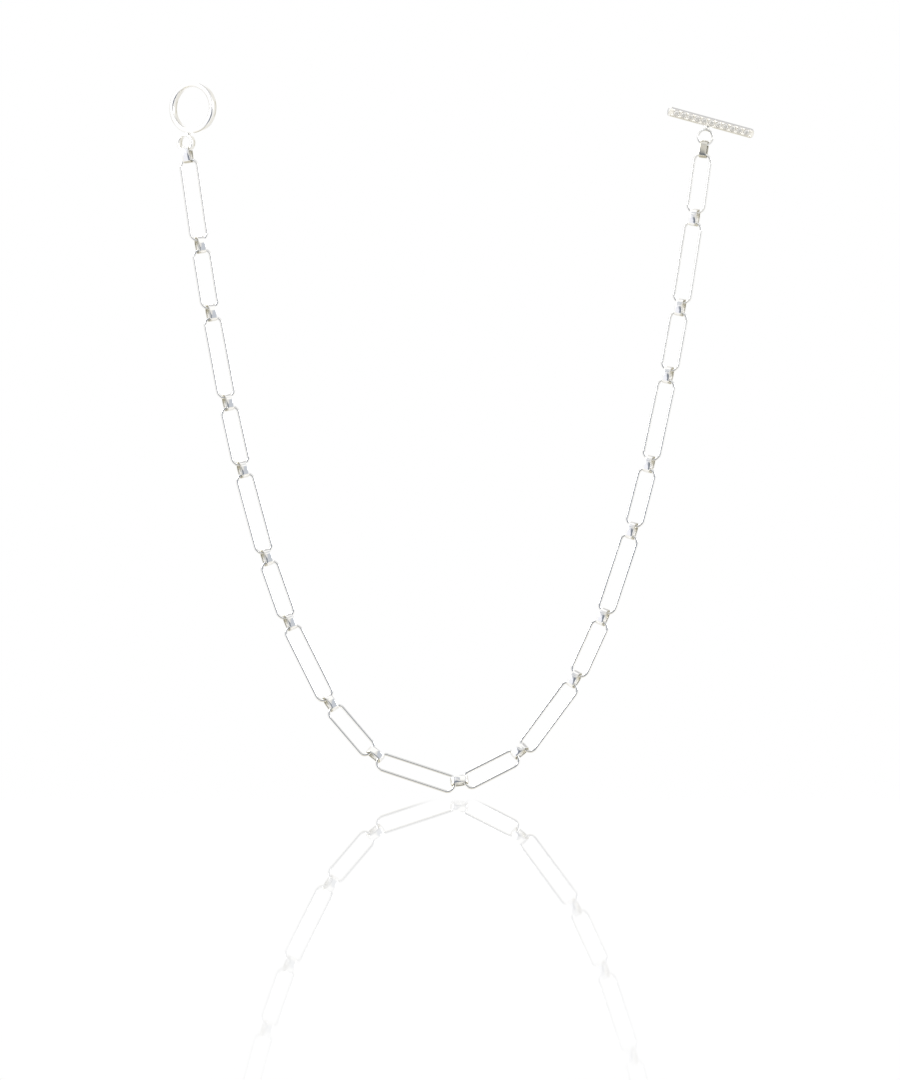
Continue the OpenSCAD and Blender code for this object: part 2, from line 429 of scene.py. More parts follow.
@dataclass(frozen=True)
class PaleFloor(Finish):
    """White, slightly shiny board that mirrors the lowest links faintly."""

    name: str = "pale_floor"
    white: Colour = (1.0, 1.0, 1.0)
    index: float = 1.45
    shine: float = 0.52
    fade_from: float = 0.05
    fade_to: float = 1.9
    front_from: float = 0.04
    front_to: float = 0.14
    blur: float = 0.012

    def surface(self, graph: Graph) -> Wire:
        """Makes the board, shiny only near the necklace and before it.

        Args:
            graph: The material's graph.

        Returns:
            The shader.
        """
        place = graph.node("ShaderNodeTexCoord", output="Object")
        away = graph.vector("LENGTH", place, output="Value")
        before = -graph.axes(place)[1]
        near = 1 - away.step(self.fade_from, self.fade_to)
        near = near * before.step(self.front_from, self.front_to)
        edge_on = graph.node("ShaderNodeFresnel", {}, {"IOR": self.index})
        body = graph.node("ShaderNodeEmission", {}, {"Color": self.white, "Strength": 1.0})
        mirror = {"Color": self.white, "Roughness": self.blur}
        gloss = graph.node("ShaderNodeBsdfGlossy", {}, mirror)
        shares = {0: edge_on * near * self.shine, 1: body, 2: gloss}
        return graph.node("ShaderNodeMixShader", {}, shares)


@dataclass(frozen=True)
class ScreenCloth(Finish):
    """The cloth round the camera, clear when looked at from outside.

    It is dark low down, warm and pale above and palest at the left, under a white top. Its
    lower left corner is white, a grey stroke crosses it high up, and its right side is grey
    over cream. Heights are in metres and turns in radians.
    """

    name: str = "screen_cloth"
    low: Colour = (0.20, 0.225, 0.27)
    high: Zone = Zone((0.80, 0.79, 0.76), -0.085, 0.015)
    high_slant: float = 0.16
    pale: Zone = Zone((0.93, 0.94, 1.00), 0.60, 0.80)
    stroke: Zone = Zone((0.58, 0.60, 0.64), 0.115, 0.19, 0.02)
    stroke_edge: float = 0.05
    side: Colour = (0.56, 0.59, 0.64)
    cream: Colour = (0.94, 0.91, 0.84)
    side_from: float = 0.64
    side_low: float = -0.20
    white: Colour = (1.04, 1.04, 1.02)
    corner_x: float = -0.28
    corner_z: float = -0.27
    top: float = 0.12
    turn_soft: float = 0.05
    height_soft: float = 0.03
    left_edge: float = -1.02
    right_edge: float = 1.12
    edge_soft: float = 0.10
    nearest: float = 0.20
    nearest_soft: float = 0.005

    def surface(self, graph: Graph) -> Wire:
        """Makes the cloth.

        Args:
            graph: The material's graph.

        Returns:
            The shader.
        """
        x, y, z = graph.axes(graph.node("ShaderNodeTexCoord", output="Object"))
        round_about = x.turn_from(-y)
        colour = self.high.laid(self.low, z + self.high_slant * round_about)
        colour = self.pale.laid(colour, -round_about)
        left = 1 - round_about.past(self.corner_x, self.turn_soft)
        below = 1 - z.past(self.corner_z, self.height_soft)
        colour = graph.blend(left * below, colour, self.white)
        upright = graph.blend(z.past(self.side_low, self.height_soft), self.cream, self.side)
        colour = graph.blend(round_about.past(self.side_from, self.turn_soft), colour, upright)
        colour = graph.blend(z.past(self.top, self.height_soft), colour, self.white)
        left = 1 - round_about.past(self.stroke_edge, self.turn_soft)
        colour = self.stroke.laid(colour, z, left)
        lit = graph.node("ShaderNodeEmission", {}, {"Color": colour, "Strength": 1.0})
        clear = graph.node("ShaderNodeBsdfTransparent")
        cloth = round_about.within(self.left_edge, self.right_edge, self.edge_soft)
        inside = 1 - graph.node("ShaderNodeNewGeometry", output="Backfacing")
        length = graph.node("ShaderNodeLightPath", output="Ray Length")
        shown = cloth * inside * length.step(self.nearest - self.nearest_soft, self.nearest)
        return graph.node("ShaderNodeMixShader", {}, {0: shown, 1: clear, 2: lit})


@dataclass
class Finishes:
    """The finishes of the necklace, built once."""

    silver: bpy.types.Material = field(default_factory=PolishedSilver().material)
    stone: bpy.types.Material = field(default_factory=CutStone().material)

    def dress(self, piece: bpy.types.Object, slot: Slot) -> None:
        """Gives a piece the material of its slot.

        Args:
            piece: The piece.
            slot: The record's slot that it follows.
        """
        piece.data.materials.clear()
        piece.data.materials.append(self.silver if slot is Slot.SILVER else self.stone)


# Shapes


@dataclass(frozen=True)
class PathPoint:
    """A point of a closed path in the XY plane, with its outward normal."""

    x: float
    y: float
    out_x: float
    out_y: float


@dataclass(frozen=True)
class Section:
    """A closed outline swept round a path: how far out and how high each point lies."""

    points: tuple[tuple[float, float], ...]

    @classmethod
    def round(cls, diameter: float, sides: int) -> "Section":
        """Round wire of a given diameter and number of sides."""
        return cls(tuple(oval(diameter / 2, diameter / 2, sides)))

    @classmethod
    def edged(cls, wide: float, high: float, radius: float, steps: int) -> "Section":
        """A rectangle with rounded corners of a given radius, with steps round each corner."""
        return cls(tuple((p.x, p.y) for p in rounded_path(wide / 2, high / 2, radius, steps)))

    @classmethod
    def domed_strip(
        cls, wide: float, thick: float, crown: float, edge: float, steps: int
    ) -> "Section":
        """A strip that is flat inside and domed outside, with its edges eased.

        Args:
            wide: Width of the strip.
            thick: Thickness at its middle.
            crown: How much thinner it is at its edges.
            edge: Radius of the eased edges.
            steps: Steps over the dome.

        Returns:
            The section, whose inner face lies at 0.
        """
        side = wide / 2 - edge
        squareness, flat_steps = 4, 6
        drop, foot, ease = edge * 0.6, edge * 0.8, edge * 0.25
        across = [-side + 2 * side * step / steps for step in range(steps + 1)]
        dome = [(thick - crown * (2 * v / wide) ** squareness, v) for v in across]
        shoulder = [(dome[-1][0] - drop, wide / 2), (foot, wide / 2)]
        right = [*shoulder, (ease, wide / 2 - ease), (0.0, side)]
        flat = [(0.0, side * (1 - 2 * step / flat_steps)) for step in range(1, flat_steps)]
        left = [(u, -v) for u, v in reversed(right)]
        return cls(tuple(dome + right + flat + left))


def oval(half_u: float, half_v: float, count: int, shift: float = 0.0) -> list[tuple[float, float]]:
    """The two lengths of each point round an oval, the first of them turned by shift radians."""
    turns = (2 * math.pi * k / count + shift for k in range(count))
    return [(half_u * math.cos(a), half_v * math.sin(a)) for a in turns]


def level_ring(radius: float, height: float, count: int, shift: float = 0.0) -> list[Vector]:
    """Points round a circle at a height along Z."""
    return [Vector((u, v, height)) for u, v in oval(radius, radius, count, shift)]


def circle_path(radius: float, steps: int) -> list[PathPoint]:
    """A circle, anticlockwise."""
    return [PathPoint(radius * u, radius * v, u, v) for u, v in oval(1.0, 1.0, steps)]


def rounded_path(half_l: float, half_w: float, radius: float, steps: int) -> list[PathPoint]:
    """A rectangle with rounded corners.

    Args:
        half_l: Half its length, along X.
        half_w: Half its width, along Y.
        radius: Of its corners.
        steps: Steps round each corner.

    Returns:
        Its points, anticlockwise.
    """
    points = []
    for corner, (sx, sy) in enumerate(((1, 1), (-1, 1), (-1, -1), (1, -1))):
        for step in range(steps + 1):
            a = math.pi / 2 * (corner + step / steps)
            out = (math.cos(a), math.sin(a))
            centre = (sx * (half_l - radius), sy * (half_w - radius))
            points.append(PathPoint(centre[0] + radius * out[0], centre[1] + radius * out[1], *out))
    return points


def bridged(
    inner: Sequence[PathPoint], outer: Sequence[PathPoint], thick: float
) -> list[PathPoint]:
    """A path along an inner outline, which reaches an outer one after thick metres outwards."""
    pairs = zip(inner, outer)
    return [PathPoint(a.x, a.y, (b.x - a.x) / thick, (b.y - a.y) / thick) for a, b in pairs]


def with_long_sides(corners: Sequence[PathPoint], bow: float, steps: int) -> list[PathPoint]:
    """Adds points along the two long sides of a rounded rectangle, bowed outwards.

    Args:
        corners: The rectangle's points, four equal corners of them.
        bow: How far the middle of a side comes out.
        steps: Steps along each side.

    Returns:
        The points of the whole outline.
    """
    corner = len(corners) // 4
    points: list[PathPoint] = []
    for side, first in ((1, 0), (-1, 2 * corner)):
        points += corners[first : first + corner]
        start = points[-1]
        for step in range(1, steps):
            share = 1 - 2 * step / steps
            out = side * bow * (1 - share**2)
            points.append(PathPoint(start.x * share, start.y + out, 0.0, float(side)))
        points += corners[first + corner : first + 2 * corner]
    return points


@dataclass(frozen=True)
class Waist:
    """A neck that is thinnest at its middle: its sizes there and at its ends, as shares."""

    least: float
    flare: float
    flatness: float = 1.0
    steps: int = 12
    sides: int = 32

    def rings(self, low: float, high: float, half_w: float, half_d: float) -> list[list[Vector]]:
        """The rings of a neck that runs along Y.

        Args:
            low: Its lower end.
            high: Its upper end.
            half_w: Half its width along X.
            half_d: Half its depth along Z.

        Returns:
            Its rings, from low to high.
        """
        made = []
        for step in range(self.steps + 1):
            spread = self.least + self.flare * (2 * step / self.steps - 1) ** 2
            y = low + (high - low) * step / self.steps
            around = oval(half_w * spread, half_d * spread * self.flatness, self.sides)
            made.append([Vector((u, y, v)) for u, v in around])
        return made


def linked(name: str, data: bpy.types.ID) -> bpy.types.Object:
    """Makes an object and links it into the scene.

    Args:
        name: Its name.
        data: Its mesh, lamp or camera.

    Returns:
        The object.
    """
    made = bpy.data.objects.new(name, data)
    bpy.context.scene.collection.objects.link(made)
    return made


class Shape:
    """A mesh under construction, with values that say how much painted shade and how much satin
    each point has.
    """

    def __init__(self) -> None:
        """Starts empty."""
        self.mesh = bmesh.new()
        self.painted_shade = self.mesh.verts.layers.float.new(PAINTED_SHADE)
        self.worked = self.mesh.verts.layers.float.new(WORKED)

    def _skin(self, rows: Sequence[Sequence[bmesh.types.BMVert]]) -> None:
        """Puts a band of faces between each row of points and the next.

        Args:
            rows: The rows, all with the same number of points.
        """
        for row, after in zip(rows, rows[1:]):
            for k in range(len(row)):
                n = (k + 1) % len(row)
                self.mesh.faces.new((row[k], after[k], after[n], row[n]))

    def sweep(self, path: Sequence[PathPoint], section: Section, inside: float) -> None:
        """Sweeps a section round a closed path.

        Args:
            path: The path.
            section: The outline.
            inside: How much painted shade the innermost points get, from 0 to 1.
        """
        lowest = min(u for u, _ in section.points)
        highest = max(u for u, _ in section.points)
        rows = []
        for point in path:
            row = []
            for u, v in section.points:
                spot = (point.x + point.out_x * u, point.y + point.out_y * u, v)
                row.append(self.mesh.verts.new(spot))
                # Painted shade, strongest on the innermost side of the section and fading outwards.
                row[-1][self.painted_shade] = inside * (1 - (u - lowest) / (highest - lowest)) ** 2
            rows.append(row)
        self._skin([*rows, rows[0]])

    def loft(self, rings: Sequence[Sequence[Vector]], painted_shade: float = 0.0) -> None:
        """Skins a row of rings with the same number of points and closes its ends.

        Args:
            rings: The rings.
            painted_shade: How much painted shade the skin gets.
        """
        rows = [[self.mesh.verts.new(p) for p in ring] for ring in rings]
        for row in rows:
            for vert in row:
                vert[self.painted_shade] = painted_shade
        self._skin(rows)
        self.mesh.faces.new(rows[0])
        self.mesh.faces.new(list(reversed(rows[-1])))

    def ball(self, centre: Vector, radius: float, worked: float) -> None:
        """Adds a ball.

        Args:
            centre: Of the ball.
            radius: Of the ball.
            worked: How satin it is, from 0 to 1.
        """
        around, up = 20, 12
        made = bmesh.ops.create_uvsphere(self.mesh, u_segments=around, v_segments=up, radius=radius)
        for vert in made["verts"]:
            vert.co += centre
            vert[self.worked] = worked

    def solid(
        self, points: Sequence[Vector], faces: Iterable[Sequence[int]], dark: int
    ) -> None:
        """Adds a flat-faced solid.

        Args:
            points: Its corners.
            faces: Its faces, as corner numbers.
            dark: How many corners, from the first, get full painted shade.
        """
        verts = [self.mesh.verts.new(p) for p in points]
        for vert in verts[:dark]:
            vert[self.painted_shade] = 1.0
        for face in faces:
            self.mesh.faces.new([verts[k] for k in face])

    def move(self, matrix: Matrix) -> None:
        """Moves all that is there so far."""
        self.mesh.transform(matrix)

    def piece(
        self, name: str, place: Matrix, sharp: float = 35.0, flat: bool = False
    ) -> bpy.types.Object:
        """Turns the shape into an object that rides on the root body and has its place in its mesh.

        Args:
            name: The object's name.
            place: Where it goes.
            sharp: Edges that turn by more degrees than this stay sharp.
            flat: True keeps every face flat.

        Returns:
            The object.
        """
        layers = self.mesh.verts.layers.float_vector
        own = layers.get(OWN_PLACE) or layers.new(OWN_PLACE)
        for vert in self.mesh.verts:
            vert[own] = vert.co
        self.mesh.transform(place)
        bmesh.ops.recalc_face_normals(self.mesh, faces=self.mesh.faces)
        for face in self.mesh.faces:
            face.smooth = not flat
        for edge in self.mesh.edges:
            edge.smooth = edge.calc_face_angle(0.0) < math.radians(sharp)
        data = bpy.data.meshes.new(name)
        self.mesh.to_mesh(data)
        self.mesh.free()
        made = linked(name, data)
        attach(made, ROOT)
        return made


# The hanging chain


@dataclass(frozen=True)
class ChainSizes:
    """The driving sizes of the chain; angles are in degrees."""

    wire_d: float = 0.85 * MM
    long_link_l: float = 25.0 * MM
    short_link_l: float = 18.35 * MM
    link_w: float = 5.8 * MM
    link_flat: float = 0.75 * MM
    band_l: float = 5.4 * MM
    band_w: float = 2.2 * MM
    band_t: float = 0.4 * MM
    band_bend_r: float = 0.6 * MM
    band_turn: float = 26.0
    first_band_turn: float = -17.0
    last_band_turn: float = 12.0
    seat_gap: float = 0.13 * MM
    side_gap: float = 0.15 * MM
    sag_r: float = 28.4 * MM
    low_shift: float = 4.2 * MM
    pairs: int = 9


def ramp(value: float, start: float, end: float) -> float:
    """Goes evenly from 0 at start to 1 at end, and stays there."""
    return min(max((value - start) / (end - start), 0.0), 1.0)


def turned(v: Vector, angle: float) -> Vector:
    """A vector of the chain's plane, turned by an angle in radians."""
    return Matrix.Rotation(angle, 2) @ v


class HangingChain:
    """Where each piece of the chain hangs: connectors are the even places and links the odd ones.

    Args:
        sizes: The chain's sizes.
    """

    def __init__(self, sizes: ChainSizes) -> None:
        """Works out the whole path."""
        self.sizes = sizes
        self.bands = 2 * sizes.pairs + 1
        self.last = 2 * self.bands - 2
        self.link_half_w = (sizes.link_w - sizes.wire_d) / 2
        self.corner_r = self.link_half_w - sizes.link_flat / 2
        self.corner_in_r = self.corner_r - sizes.wire_d / 2
        self.band_in_l = sizes.band_l - 2 * sizes.band_t
        count = self.last + 1
        self.runs = list(accumulate((self.reach(i) for i in range(count)), initial=0.0))
        steps = (self._step(i) for i in range(count))
        self.path = list(accumulate(steps, initial=Vector((0.0, 0.0))))
        self.hang = (self.path[0] + self.path[-1]) / 2

    def kind(self, i: int) -> Kind:
        """What hangs at a place."""
        return Kind.CONNECTOR if i % 2 == 0 else Kind.LONG_LINK if i % 4 == 1 else Kind.SHORT_LINK

    def link_length(self, i: int) -> float:
        """Outer length of the link at a place."""
        return self.sizes.long_link_l if self.kind(i) is Kind.LONG_LINK else self.sizes.short_link_l

    def turn(self, i: int) -> float:
        """Turn of the connector at a place about the chain, in radians."""
        ends = {0: self.sizes.first_band_turn, self.last: self.sizes.last_band_turn}
        return math.radians(ends.get(i, self.sizes.band_turn))

    def rest_in_link(self, length: float, turn: float, bend: float) -> Vector:
        """Where a band's strip rests in a link, from the link's middle.

        Args:
            length: Outer length of the link.
            turn: Turn of the band, in radians.
            bend: Angle between link and band, in radians.

        Returns:
            The place, along the link and towards the inside of the necklace.
        """
        edge = self.sizes.band_w / 2 / math.cos(turn)
        ahead = edge * math.cos(bend) - self.sizes.link_flat / 2
        aside = edge * math.sin(bend)
        grow = math.sqrt(self.corner_in_r**2 / (ahead**2 + aside**2) - 1)
        start = length / 2 - self.sizes.wire_d / 2 - self.corner_r
        return Vector((start + grow * ahead, grow * aside))

    def reach(self, i: int) -> float:
        """Length of a piece between the two places where it is held.

        Args:
            i: The piece's place along the chain.

        Returns:
            The length.
        """
        if self.kind(i) is Kind.CONNECTOR:
            return self.band_in_l - 2 * self.sizes.seat_gap
        return 2 * self.rest_in_link(self.link_length(i), math.radians(self.sizes.band_turn), 0.0).x

    def run_to_middle(self, i: int) -> float:
        """Length of chain from its left end to the middle of a piece."""
        return self.runs[i] + self.reach(i) / 2

    def slope(self, i: int) -> float:
        """Slope of a piece in radians, that of a hanging curve at its middle."""
        away = self.run_to_middle(i) - self.run_to_middle(self.bands - 1)
        return math.atan((away + self.sizes.low_shift) / self.sizes.sag_r)

    def heading(self, i: int) -> Vector:
        """Direction of a piece in the chain's plane."""
        return Vector((math.cos(self.slope(i)), math.sin(self.slope(i))))

    def _held_at(self, i: int, side: int) -> Vector:
        """Where a piece is held, from its middle.

        Args:
            i: The piece's place along the chain.
            side: -1 for its left end and 1 for its right end.

        Returns:
            The place, along the piece and towards the inside of the necklace.
        """
        if self.kind(i) is Kind.CONNECTOR:
            return Vector((side * self.reach(i) / 2, 0.0))
        bend = side * (self.slope(i + side) - self.slope(i))
        rest = self.rest_in_link(self.link_length(i), self.turn(i + side), bend)
        return Vector((side * rest.x, rest.y))

    def _step(self, i: int) -> Vector:
        """From one end of a piece to the other."""
        return turned(self._held_at(i, 1) - self._held_at(i, -1), self.slope(i))

    def end(self, i: int) -> Vector:
        """A point of the path in space, seen from where the necklace hangs."""
        flat = self.path[i] - self.hang
        return Vector((flat.x, 0.0, flat.y))

    def place(self, i: int) -> Matrix:
        """Puts a piece's +X along the chain, +Y inwards and +Z towards the front.

        Args:
            i: The piece's place along the chain.

        Returns:
            Its matrix.
        """
        middle = self.path[i] - turned(self._held_at(i, -1), self.slope(i)) - self.hang
        upright = Matrix.Rotation(-self.slope(i), 4, "Y") @ Matrix.Rotation(math.pi / 2, 4, "X")
        return Matrix.Translation((middle.x, 0.0, middle.y)) @ upright

    def pull_on(self, i: int, turn: float) -> Vector:
        """Direction of a connector's pull on the loop in it, in the plane of the turned loop."""
        flat = self.heading(i)
        return Vector((flat.x * math.cos(turn), flat.y)).normalized()

    def room_for(self, thick: float, turn: float) -> float:
        """Half the depth that a wall takes in a band turned against it."""
        return self.sizes.band_w / 2 * abs(math.tan(turn)) + thick / 2 / math.cos(turn)

    def edge_in_loop(self, depth: float, turn: float) -> float:
        """Half the width that a strip takes in a round loop, turned against it."""
        return self.sizes.band_w / 2 / math.cos(turn) + depth / 2 * abs(math.tan(turn))

    def hung_loop(self, side: int, hole_r: float, depth: float, turn: float) -> Matrix:
        """Hangs a clasp's loop in the last connector of a side.

        Args:
            side: -1 for the left end of the chain and 1 for the right end.
            hole_r: Radius of the loop's hole.
            depth: Depth of the loop's flat wall, or 0 for round wire.
            turn: Turn of the loop, in radians.

        Returns:
            The matrix that puts the loop's middle there, with the loop in its own XY plane.
        """
        i = 0 if side < 0 else self.last
        edge = self.edge_in_loop(depth, turn + self.turn(i))
        rest = side * math.sqrt(hole_r**2 - edge**2)
        pull = self.pull_on(i, turn)
        upright = Matrix.Rotation(side * turn, 4, "Z") @ Matrix.Rotation(math.pi / 2, 4, "X")
        slid = Matrix.Translation((rest * pull.x, rest * pull.y, 0.0))
        return Matrix.Translation(self.end(0 if side < 0 else -1)) @ upright @ slid


# Sub-assemblies


@dataclass
class Links:
    """The long and short links of round wire, each bent and soldered closed."""

    chain: HangingChain
    sides: int = 28
    corner_steps: int = 14
    # Painted shade on the wire's inner side and where the connectors rest on it.
    bend_shade: float = 0.15
    rest_shade: float = 0.6
    rest_l: float = 1.2 * MM

    def build(self, finishes: Finishes) -> list[bpy.types.Object]:
        """Makes every link.

        Args:
            finishes: The finishes.

        Returns:
            The links.
        """
        made = []
        for i in range(1, self.chain.last, 2):
            long = self.chain.kind(i) is Kind.LONG_LINK
            node = f"long_link_{(i + 3) // 4}" if long else f"short_link_{(i + 1) // 4}"
            made.append(self._link(i, node, finishes))
        return made

    def _link(self, i: int, node: str, finishes: Finishes) -> bpy.types.Object:
        """Makes one link.

        Args:
            i: Its place along the chain.
            node: The solid that it stands for.
            finishes: The finishes.

        Returns:
            The link.
        """
        sizes = self.chain.sizes
        half_l = (self.chain.link_length(i) - sizes.wire_d) / 2
        path = rounded_path(half_l, self.chain.link_half_w, self.chain.corner_r, self.corner_steps)
        shape = Shape()
        shape.sweep(path, Section.round(sizes.wire_d, self.sides), self.bend_shade)
        self._shade_the_rests(shape, half_l)
        piece = shape.piece(f"wire_{node}", self.chain.place(i))
        finishes.dress(piece, Slot.SILVER)
        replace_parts(piece, node)
        return piece

    def _shade_the_rests(self, shape: Shape, half_l: float) -> None:
        """Paints a little shade on the wire where the connectors lie over it.

        Args:
            shape: The link's shape.
            half_l: Half the length of its middle line.
        """
        covered = self.chain.sizes.band_w / 2
        for vert in shape.mesh.verts:
            at_end = max(0.0, (abs(vert.co.x) - half_l + self.rest_l) / self.rest_l)
            beside = max(0.0, 1 - abs(vert.co.y) / covered)
            shade = self.rest_shade * min(1.0, at_end) * beside
            vert[shape.painted_shade] = min(1.0, vert[shape.painted_shade] + shade)


@dataclass
class Connectors:
    """The small oval bands of domed strip that join the links.

    The inner bow is the share of the bow that the inner face follows. Shares of painted shade run
    from 0 to 1.
    """

    chain: HangingChain
    ring_loop_depth: float
    ring_turn: float
    bar_loop_t: float
    bar_turn: float
    edge: float = 0.06 * MM
    crown: float = 0.08 * MM
    inner_bend_r: float = 0.8 * MM
    outer_bend_r: float = 1.45 * MM
    seat_from: float = 1.5 * MM
    seat_to: float = 2.1 * MM
    upper_from: float = -0.4 * MM
    upper_to: float = 0.8 * MM
    # Shares of painted shade and dark reflection: the least kept outside the seats and upper half,
    # and the least over the whole last band.
    least_shade: float = 0.12
    last_shade: float = 0.7
    bend_steps: int = 8
    bow: float = 0.2 * MM
    last_bow: float = 0.06 * MM
    bow_steps: int = 10
    inner_bow: float = 0.5
    dome_steps: int = 10

    def room(self, first: bool) -> float:
        """Inside depth of a band, from front to back.

        Args:
            first: True for the deeper band that holds the ring's loop.

        Returns:
            The depth.
        """
        sizes, room_for = self.chain.sizes, self.chain.room_for
        if first:
            turn = math.radians(sizes.first_band_turn)
            held = 2 * sizes.side_gap + room_for(self.ring_loop_depth, self.ring_turn + turn)
        else:
            turn = math.radians(sizes.band_turn)
            bar_turn = self.bar_turn + math.radians(sizes.last_band_turn)
            held = sizes.side_gap + room_for(self.bar_loop_t, bar_turn)
        return 2 * max(sizes.band_bend_r, sizes.side_gap + room_for(sizes.wire_d, turn), held)

    def _outline(self, half_w: float, bow: float) -> list[PathPoint]:
        """The band seen from its side: tight bends inside, rounder ones outside, bowed long sides.

        Args:
            half_w: Half the inside depth.
            bow: How far its long sides come out.

        Returns:
            The path that the strip follows.
        """
        sizes = self.chain.sizes
        half_l, thick = self.chain.band_in_l / 2, sizes.band_t
        inner = rounded_path(half_l, half_w, self.inner_bend_r, self.bend_steps)
        outer = rounded_path(half_l + thick, half_w + thick, self.outer_bend_r, self.bend_steps)
        inner = with_long_sides(inner, bow * self.inner_bow, self.bow_steps)
        return bridged(inner, with_long_sides(outer, bow, self.bow_steps), thick)

    def _tone(self, shape: Shape, i: int) -> None:
        """Keeps the painted shade and dark reflection in the band's seats and its upper half, and
        only a little of it elsewhere.

        Args:
            shape: The band's shape, with its length along X.
            i: The band's place along the chain.
        """
        middle = self.chain.bands - 1
        upwards = (i > middle) - (i < middle)
        # The last band is painted with shade all over, at least this much.
        whole_shade = self.last_shade if i == self.chain.last else 0.0
        for vert in shape.mesh.verts:
            seat = ramp(abs(vert.co.x), self.seat_from, self.seat_to)
            upper = ramp(upwards * vert.co.x, self.upper_from, self.upper_to)
            share = self.least_shade + (1 - self.least_shade) * max(seat, upper)
            vert[shape.painted_shade] = max(whole_shade, vert[shape.painted_shade] * share)

    def build(self, finishes: Finishes) -> list[bpy.types.Object]:
        """Makes every connector.

        Args:
            finishes: The finishes.

        Returns:
            The connectors.
        """
        sizes = self.chain.sizes
        strip = Section.domed_strip(
            sizes.band_w, sizes.band_t, self.crown, self.edge, self.dome_steps
        )
        made = []
        for i in range(0, self.chain.last + 1, 2):
            half_w = self.room(i == 0) / 2
            shape = Shape()
            bow = self.last_bow if i == self.chain.last else self.bow
            # Full painted shade on the strip's inner face, fading to none on its outer face.
            shape.sweep(self._outline(half_w, bow), strip, 1.0)
            self._tone(shape, i)
            shape.move(Matrix.Rotation(math.pi / 2 - self.chain.turn(i), 4, "X"))
            node = f"connector_{i // 2 + 1}"
            piece = shape.piece(f"band_{node}", self.chain.place(i))
            finishes.dress(piece, Slot.SILVER)
            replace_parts(piece, node)
            made.append(piece)
        return made


@dataclass
class ToggleRing:
    """The toggle's ring and the small loop soldered under it."""

    chain: HangingChain
    ring_d: float = 15.4 * MM
    ring_t: float = 1.5 * MM
    ring_depth: float = 2.5 * MM
    ring_edge_r: float = 0.5 * MM
    turn: float = math.radians(30.0)
    lean: float = math.radians(13.0)
    loop_d: float = 5.4 * MM
    loop_t: float = 0.75 * MM
    loop_depth: float = 2.0 * MM
    loop_edge_r: float = 0.2 * MM
    neck_l: float = 0.25 * MM
    neck_w: float = 1.8 * MM
    steps: int = 160
    edge_steps: int = 6
    loop_steps: int = 96
    loop_edge_steps: int = 5
    # Painted shade on the inner sides of the ring and its loop, and on the neck between them.
    ring_shade: float = 0.12
    loop_shade: float = 0.3
    solder_shade: float = 0.35
    solder: Waist = Waist(0.8, 0.45, 0.85)

    def place(self) -> Matrix:
        """The ring's matrix. The middle of its small loop is the origin of its own plane."""
        hung = self.chain.hung_loop(-1, self.loop_d / 2 - self.loop_t, self.loop_depth, self.turn)
        return hung @ Matrix.Rotation(-self.lean, 4, "Z")

    def build(self, finishes: Finishes) -> bpy.types.Object:
        """Makes the ring.

        Args:
            finishes: The finishes.

        Returns:
            The ring.
        """
        loop_r = (self.loop_d - self.loop_t) / 2
        ring_r = (self.ring_d - self.ring_t) / 2
        ring_up = self.loop_d / 2 + self.neck_l + self.ring_d / 2
        shape = Shape()
        wall = Section.edged(self.ring_t, self.ring_depth, self.ring_edge_r, self.edge_steps)
        shape.sweep(circle_path(ring_r, self.steps), wall, self.ring_shade)
        shape.move(Matrix.Translation((0.0, ring_up, 0.0)))
        thin = Section.edged(self.loop_t, self.loop_depth, self.loop_edge_r, self.loop_edge_steps)
        shape.sweep(circle_path(loop_r, self.loop_steps), thin, self.loop_shade)
        half_d = self.loop_depth / 2 - self.loop_edge_r
        joint = self.solder.rings(loop_r, ring_up - ring_r, self.neck_w / 2, half_d)
        shape.loft(joint, self.solder_shade)
        piece = shape.piece("toggle_ring", self.place())
        finishes.dress(piece, Slot.SILVER)
        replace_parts(piece, "clasp_ring")
        return piece


